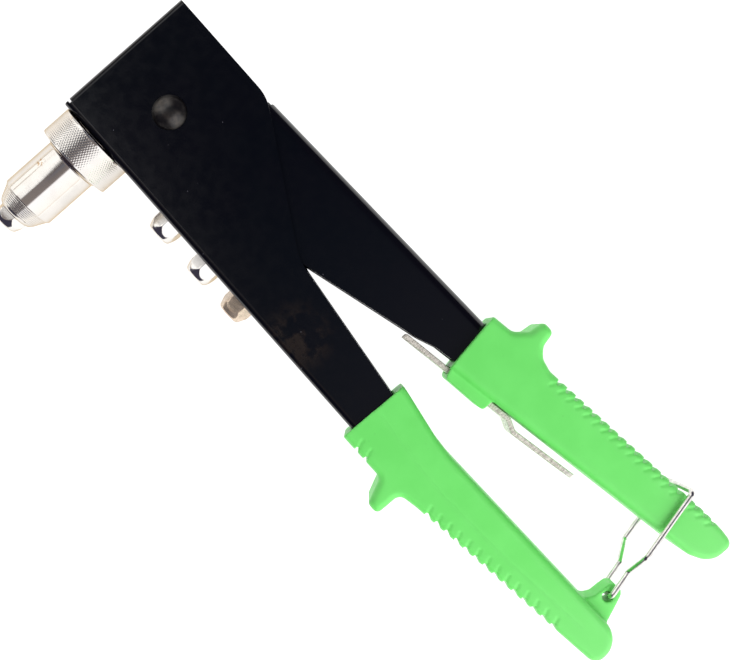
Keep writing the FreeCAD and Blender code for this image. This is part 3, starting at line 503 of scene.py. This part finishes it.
def make_nose_sleeve():
    land_y = BARREL_END_Y + BARREL_LAND
    collar = [(COLLAR_RAD, COLLAR_BACK_Y - COLLAR_RIM), (COLLAR_RAD, COLLAR_FRONT_Y + COLLAR_RIM)]
    outline = [Vector(point) for point in (
        *BORE_EDGE,
        (COLLAR_RAD - 0.55, COLLAR_BACK_Y),
        (COLLAR_RAD - 0.2, COLLAR_BACK_Y - 0.12),
        *divided(*collar, COLLAR_RINGS),
        collar[1],
        (COLLAR_RAD - 0.15, COLLAR_FRONT_Y + 0.1),
        (COLLAR_RAD - 0.5, COLLAR_FRONT_Y),
        *COLLAR_STEP,
        *divided((BARREL_RAD, BARREL_START_Y), (BARREL_RAD, land_y), BARREL_RINGS),
        (BARREL_RAD, land_y),
        (BARREL_RAD, BARREL_END_Y),
        (BARREL_RAD - 0.1, BARREL_END_Y - 0.25),
        CONE_START,
        *cone_rings(),
        CONE_END,
        *NOSE_END,
    )]

    def to_row(side, up, height):
        return on_tool(NOSE_X + side, height, up)
    mesh = turned("nose_sleeve_knurled", outline, KNURL_COUNT * 8, to_row, knurl)
    shade(mesh, SHARP_DEG)
    piece = linked("nose_sleeve_knurled", mesh, [CHROME], "frame")
    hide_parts("nose_sleeve")


# ---------------------------------------------------------------------------------------------
# Pivot rivet: a dome with a turned rim on each side of the frame

DOME_RAD = 6.0
DOME_TOP = 14.1
DOME_FOOT = 0.2
DOME_RIM = 0.12
DOME_STEPS = 18
DOME_TURNS = 96
SIDE_FACE = 10.5
SHANK_RAD = 4.0


def make_pivot_rivet():
    rise = DOME_TOP - SIDE_FACE - DOME_FOOT
    ball = (DOME_RAD ** 2 + rise ** 2) / (2 * rise)
    slope = math.asin(DOME_RAD / ball)
    dome = [Vector((DOME_RAD, SIDE_FACE)), Vector((DOME_RAD, SIDE_FACE + DOME_RIM))]
    for step in range(DOME_STEPS + 1):
        lean = slope * (1 - step / DOME_STEPS) * 0.985
        dome.append(Vector((ball * math.sin(lean), DOME_TOP - ball * (1 - math.cos(lean)))))
    upper = [Vector((SHANK_RAD, SIDE_FACE)), *dome]
    lower = [Vector((point.x, -point.y)) for point in reversed(upper)]
    mesh = turned("pivot_rivet_domed", upper + lower, DOME_TURNS, on_tool)
    shade(mesh, SHARP_DEG)
    piece = linked("pivot_rivet_domed", mesh, [OXIDE], "frame")
    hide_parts("pivot_rivet")


# ---------------------------------------------------------------------------------------------
# Grips: soft moulded skins


GRIP_VOXEL = 0.42 * MM
GRIP_RELAX = 3
GRIP_SHARP_DEG = 60
# what lies further out than this belongs to a grip's flat sides
GRIP_SIDE = 11.6 - 0.4


def moulded(node, name, body):
    """A grip as moulded plastic: the CAD solid with every edge and tooth softened."""
    raw = bpy.data.objects.new(name + "_rough", settled(welded(node), name + "_rough"))
    bpy.context.scene.collection.objects.link(raw)
    skin = raw.modifiers.new("skin", "REMESH")
    skin.mode = "VOXEL"
    skin.voxel_size = GRIP_VOXEL
    skin.use_smooth_shade = True
    settle = raw.modifiers.new("settle", "SMOOTH")
    settle.factor = 0.5
    settle.iterations = GRIP_RELAX
    bpy.context.view_layer.update()
    graph = bpy.context.evaluated_depsgraph_get()
    mesh = bpy.data.meshes.new_from_object(raw.evaluated_get(graph))
    mesh.name = name
    bpy.data.objects.remove(raw)
    mesh.materials.clear()
    shade(mesh, GRIP_SHARP_DEG)
    piece = linked(name, mesh, [GREEN], body)
    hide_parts(node)
    return piece


def pressed_line(piece, run, wide_mm, deep_mm):
    """Presses a shallow line into both flat sides of a grip, along a run of (x, y) points."""
    mesh = piece.data
    where = np.empty(len(mesh.vertices) * 3)
    mesh.vertices.foreach_get("co", where)
    where = where.reshape(-1, 3)
    flat = (where - np.array(PIVOT)) / MM
    nearest = np.full(len(flat), 1e9)
    for first, last in zip(run, run[1:]):
        start, span = np.array(first), np.array(last) - np.array(first)
        part = np.clip(((flat[:, :2] - start) @ span) / (span @ span), 0, 1)
        gap = np.linalg.norm(flat[:, :2] - start - part[:, None] * span, axis=1)
        nearest = np.minimum(nearest, gap)
    outer = np.abs(flat[:, 2]) > GRIP_SIDE
    depth = deep_mm * np.exp(-(nearest / wide_mm) ** 2) * outer
    where[:, 2] -= np.sign(flat[:, 2]) * depth * MM
    mesh.vertices.foreach_set("co", where.ravel())
    mesh.update()


# how wide and how deep the lines are
PARTING_DENT = (0.45, 0.12)
TOOTH_DENT = (0.55, 0.30)
# the first groove's run, the pitch, the count and the ridge's slope in degrees
LOWER_TEETH = ((159.6, -24.6), (158.4, -22.0), 4.35, 14, 7.2)
UPPER_TEETH = ((155.8, 38.4), (154.0, 35.4), 3.9, 19, 6.5)
MOUTH_RIBS = ((127.2, -27.4), (126.2, -24.6), 4.35, 2, 0.0)
PARTING_RUN = [(123.5, -13.6), (134, -14.6), (146, -15.6), (158, -16.0), (190, -14.2),
               (222, -10.6)]


def press_grooves(piece, first, last, pitch, count, slope_deg):
    """The grooves between the teeth run a little way in over both flat sides."""
    slope = math.radians(slope_deg)
    for step in range(count):
        shift = np.array((math.cos(slope), math.sin(slope))) * pitch * step
        pressed_line(piece, [np.array(first) + shift, np.array(last) + shift], *TOOTH_DENT)


def make_grips():
    lower = moulded("lower_grip", "lower_grip_moulded", "frame")
    pressed_line(lower, PARTING_RUN, *PARTING_DENT)
    press_grooves(lower, *LOWER_TEETH)
    press_grooves(lower, *MOUTH_RIBS)
    upper = moulded("upper_grip", "upper_grip_moulded", "lever")
    press_grooves(upper, *UPPER_TEETH)


# ---------------------------------------------------------------------------------------------
# Sheet metal, hex pieces, wrench and wire


PAINT_BREAK = 0.35
HEX_BREAK = 0.1
HEX_SHARP_DEG = 15
WRENCH_BREAK = 0.36
SPRING_WIRE = 1.4 * MM


def make_metalwork():
    for node, body in (("body_channel", "frame"), ("lever_channel", "lever")):
        broken_edges(node, f"{node}_painted", PAINT_BREAK, [BLACK, BLACK_EDGE], body)
    for node, materials in (("nosepiece_fitted", [CHROME_HEX]),
                            ("spare_nosepiece_large", [CHROME_HEX, CHROME_HEX]),
                            ("spare_nosepiece_medium", [CHROME_HEX, CHROME_HEX]),
                            # the small spare's flats carry the brownish painted reflection of the
                            # floor
                            ("spare_nosepiece_small", [HEX_PAINTED_REFLECTION, CHROME_HEX])):
        broken_edges(node, f"{node}_plated", HEX_BREAK, materials, "frame",
                     segments=1, sharp_deg=HEX_SHARP_DEG)
    broken_edges("wrench", "wrench_stamped", WRENCH_BREAK, [WRENCH_STEEL, WRENCH_EDGE],
                 "wrench", segments=3)


def make_springs():
    """Each coil is the CAD spring copied in spring steel, between the two pieces that it pushes
    apart.
    """
    for node, low_body in (("return_spring", "frame"), ("pusher_spring", "pusher")):
        name = node + "_coil"
        mesh = settled(welded(node), name)
        mesh.materials.append(SPRING_STEEL)
        shade(mesh, SHARP_DEG)
        piece = bpy.data.objects.new(name, mesh)
        bpy.context.scene.collection.objects.link(piece)
        low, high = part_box(node)
        start, end = middle_of(node), middle_of(node)
        start.y, end.y = low.y + SPRING_WIRE, high.y - SPRING_WIRE
        tuple(start)
        tuple(end)
        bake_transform(piece)
        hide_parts(node)


def coat_cad_nodes():
    """The CAD nodes whose shape is already right only need their finish."""
    turned_nodes = ["nose_bushing", "draw_tube", "draw_collar", "lock_nut", "jaw_case",
                    "jaw_pusher"]
    coats = {
        WIRE_STEEL: ["latch_bail"],
        TURNED_STEEL: turned_nodes,
        JAW_STEEL: ["jaw_1", "jaw_2", "jaw_3"],
    }
    for material, nodes in coats.items():
        for node in nodes:
            for holder in NODES[node].material_slots:
                holder.material = material


# ---------------------------------------------------------------------------------------------
# Floor, light and camera

FLOOR_GLOW = (0.94, 0.94, 0.94, 1.0)
FLOOR_TONES = [(0.34, 0.335, 0.33), (0.37, 0.365, 0.36)]
FLOOR_HALF = 40.0
FLOOR_GAP = 0.2 * MM


def make_floor():
    """A pale floor that glows enough to hide most of the tool's shadow."""
    finish = Finish("floor", Roughness=0.9, Emission_Color=FLOOR_GLOW, Emission_Strength=1.0)
    finish.colour(finish.blend(finish.grain(220, 2), *FLOOR_TONES))
    low = CAD_BOX[0].z - FLOOR_GAP
    corners = [(side * FLOOR_HALF, up * FLOOR_HALF, low)
               for side, up in ((-1, -1), (1, -1), (1, 1), (-1, 1))]
    mesh = bpy.data.meshes.new("floor")
    mesh.from_pydata(corners, [], [(0, 1, 2, 3)])
    mesh.materials.append(finish.material)
    floor = bpy.data.objects.new("floor", mesh)
    bpy.context.scene.collection.objects.link(floor)


STUDIO_LEVEL = 1.45
# the studio seen across X: degrees from straight up, and its colour
ACROSS = [
    (-90, (0.80, 0.74, 0.66)),
    (-82, (0.80, 0.74, 0.66)),
    (-80, (0.20, 0.15, 0.11)),
    (-78, (0.95, 0.94, 0.92)),
    (-33, (1.0, 1.0, 1.0)),
    (-28, (0.026, 0.030, 0.044)),
    (-12, (0.026, 0.032, 0.050)),
    (-3, (0.065, 0.075, 0.100)),
    (4, (0.110, 0.120, 0.145)),
    (12, (0.140, 0.125, 0.130)),
    (27, (0.180, 0.155, 0.150)),
    (32, (0.96, 0.96, 1.0)),
    (84, (0.95, 0.94, 0.92)),
    (90, (0.82, 0.76, 0.68)),
]
ENDS_TINT = (0.034, 0.031, 0.050)
NOSE_FILL = (0.190, 0.165, 0.158)
# the studio seen along Y, -1 past the nose and +1 past the back: how much of ENDS_TINT, of
# NOSE_SHIFT and of NOSE_FILL there is
ENDS = [(-1.0, 1.0), (-0.62, 1.0), (-0.50, 0.0), (0.48, 0.0), (0.64, 1.0)]
NOSE_REACH = [(-0.200, 0.0), (-0.190, 1.0), (-0.15, 1.0), (-0.08, 0.0)]
NOSE_GLOW = [(-0.60, 0.0), (-0.50, 1.0), (-0.16, 1.0), (-0.08, 0.0)]
# a gap between the left box and the floor that draws a dark line along the head's bend
GAP_LEAN = [(-80, 0.0), (-74, 1.0), (-52, 1.0), (-46, 0.0)]
GAP_REACH = [(-0.10, 0.0), (-0.07, 1.0), (0.12, 1.0), (0.16, 0.0)]
# over the nose the left box reaches further: between these leans the studio is turned
NOSE_SHIFT = math.radians(-24)
SHIFT_FROM, SHIFT_TO = math.radians(-60), math.radians(-5)


def make_studio():
    """Soft boxes along both sides with a dim strip between them over the tool, and dark ends."""
    world = bpy.data.worlds.new("studio")
    bpy.context.scene.world = world
    world.use_nodes = True
    studio = Graph(world.node_tree)
    place = studio.add("ShaderNodeTexCoord").outputs["Generated"]
    side, along, up = studio.add("ShaderNodeSeparateXYZ", {0: place}).outputs
    lean = studio.sum_up("ARCTAN2", side, up)

    def across(value, stops):
        quarter = math.radians(90)
        return studio.bands(value, -quarter, quarter,
                            [(math.radians(degrees), tint) for degrees, tint in stops])

    def lengthwise(stops):
        return studio.bands(along, -1.0, 1.0, stops)

    inside = studio.sum_up("MULTIPLY", studio.sum_up("GREATER_THAN", lean, SHIFT_FROM),
                           studio.sum_up("LESS_THAN", lean, SHIFT_TO))
    reach = studio.sum_up("MULTIPLY", lengthwise(NOSE_REACH), inside)
    shift = studio.sum_up("MULTIPLY", reach, NOSE_SHIFT)
    boxes = across(studio.sum_up("ADD", lean, shift), ACROSS)
    boxes = studio.blend(lengthwise(ENDS), boxes, ENDS_TINT)
    gap = studio.sum_up("MULTIPLY", lengthwise(GAP_REACH), across(lean, GAP_LEAN))
    boxes = studio.blend(gap, boxes, ENDS_TINT)
    glow = studio.blend(1.0, lengthwise(NOSE_GLOW), NOSE_FILL, mode="MULTIPLY")
    light = studio.blend(1.0, boxes, glow, mode="LIGHTEN")
    background = studio.tree.nodes["Background"]
    studio.feed(background.inputs[0], light)
    background.inputs[1].default_value = STUDIO_LEVEL


KEY_LIGHT = on_tool(560, -90, 430)
KEY_AIM = on_tool(100, 0)
KEY_POWER = 4.2
KEY_SIZE = 0.8


def make_key_light():
    """A soft lamp that shapes the grips; shiny pieces don't mirror it."""
    lamp = bpy.data.lights.new("key", "AREA")
    lamp.energy = KEY_POWER
    lamp.size = KEY_SIZE
    light = bpy.data.objects.new("key", lamp)
    bpy.context.scene.collection.objects.link(light)
    light.location = KEY_LIGHT
    light.rotation_mode = "QUATERNION"
    light.rotation_quaternion = (KEY_AIM - KEY_LIGHT).to_track_quat("-Z", "Y")
    light.visible_glossy = False


CAMERA_AT = on_tool(100.54, 0.22, 305)
CAMERA_TURN = math.radians(48.53)
LENS = 42.74
IMAGE_WIDTH = 734
SHIFT_UP = 5 / IMAGE_WIDTH
NEAREST_SEEN = 0.01


def make_camera():
    """Straight down on the tool, turned so that the grips point to the lower right."""
    camera = bpy.data.objects.new("camera", bpy.data.cameras.new("camera"))
    bpy.context.scene.collection.objects.link(camera)
    camera.location = CAMERA_AT
    camera.rotation_euler = (0, 0, CAMERA_TURN)
    camera.data.lens = LENS
    camera.data.shift_y = SHIFT_UP
    camera.data.clip_start = NEAREST_SEEN
    bpy.context.scene.camera = camera


make_camera()
make_floor()
make_studio()
make_key_light()
make_metalwork()
make_nose_sleeve()
make_pivot_rivet()
make_grips()
make_springs()
coat_cad_nodes()
bpy.context.scene.view_settings.view_transform = "Standard"
